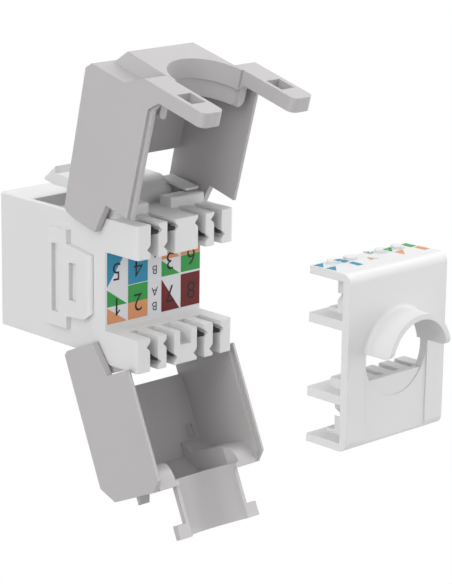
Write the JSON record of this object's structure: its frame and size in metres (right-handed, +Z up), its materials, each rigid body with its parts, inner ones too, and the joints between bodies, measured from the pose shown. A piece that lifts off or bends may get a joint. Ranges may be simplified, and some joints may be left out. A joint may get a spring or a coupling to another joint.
{
  "type": "keystone jack",
  "caption": "Snap-in data socket with wiring towers, a slotted wire cap and two hinged jaws that close round the cable.",
  "frame": {"origin": "middle of the panel opening, in the plane of the panel's rear face, where the latch snaps", "axes": "+X out of the wire end, away from the panel's front; +Y across the jack; +Z up, on the latch's side"},
  "size_m": [0.0598, 0.0166, 0.0554],
  "materials": {
    "white_shell": "moulded polycarbonate, fine satin",
    "white_block": "moulded polycarbonate, fine satin",
    "white_cap": "moulded polycarbonate, fine satin",
    "grey_jaw": "moulded grey plastic, fine spark texture",
    "label": "printed film with wiring colours",
    "board": "solder mask over glass laminate",
    "insert": "moulded black insulator",
    "spring_wire": "gold-plated phosphor bronze",
    "tinned_blade": "tin-plated phosphor bronze"
  },
  "bodies": {
    "root": {"front_housing": "white_shell", "wiring_block": "white_block", "colour_label": "label", "circuit_board": "board", "contact_insert": "insert", "spring_contact_1": "spring_wire", "spring_contact_2": "spring_wire", "spring_contact_3": "spring_wire", "spring_contact_4": "spring_wire", "spring_contact_5": "spring_wire", "spring_contact_6": "spring_wire", "spring_contact_7": "spring_wire", "spring_contact_8": "spring_wire", "idc_contact_1": "tinned_blade", "idc_contact_2": "tinned_blade", "idc_contact_3": "tinned_blade", "idc_contact_4": "tinned_blade", "idc_contact_5": "tinned_blade", "idc_contact_6": "tinned_blade", "idc_contact_7": "tinned_blade", "idc_contact_8": "tinned_blade"},
    "upper_jaw": {"upper_jaw": "grey_jaw"},
    "lower_jaw": {"lower_jaw": "grey_jaw"},
    "wire_cap": {"wire_cap": "white_cap"}
  },
  "joints": [
    {"name": "upper_jaw_hinge", "type": "hinge", "parent": "root", "child": "upper_jaw", "pos_m": [0.00682, 0, 0.009], "axis": [0, 1, 0], "range_deg": [0, 75.1]},
    {"name": "lower_jaw_hinge", "type": "hinge", "parent": "root", "child": "lower_jaw", "pos_m": [0.00682, 0, -0.009], "axis": [0, -1, 0], "range_deg": [0, 66.1]},
    {"name": "wire_cap_slide", "type": "slide", "parent": "root", "child": "wire_cap", "axis": [-1, 0, 0], "range_m": [0, 0.031]}
  ]
}
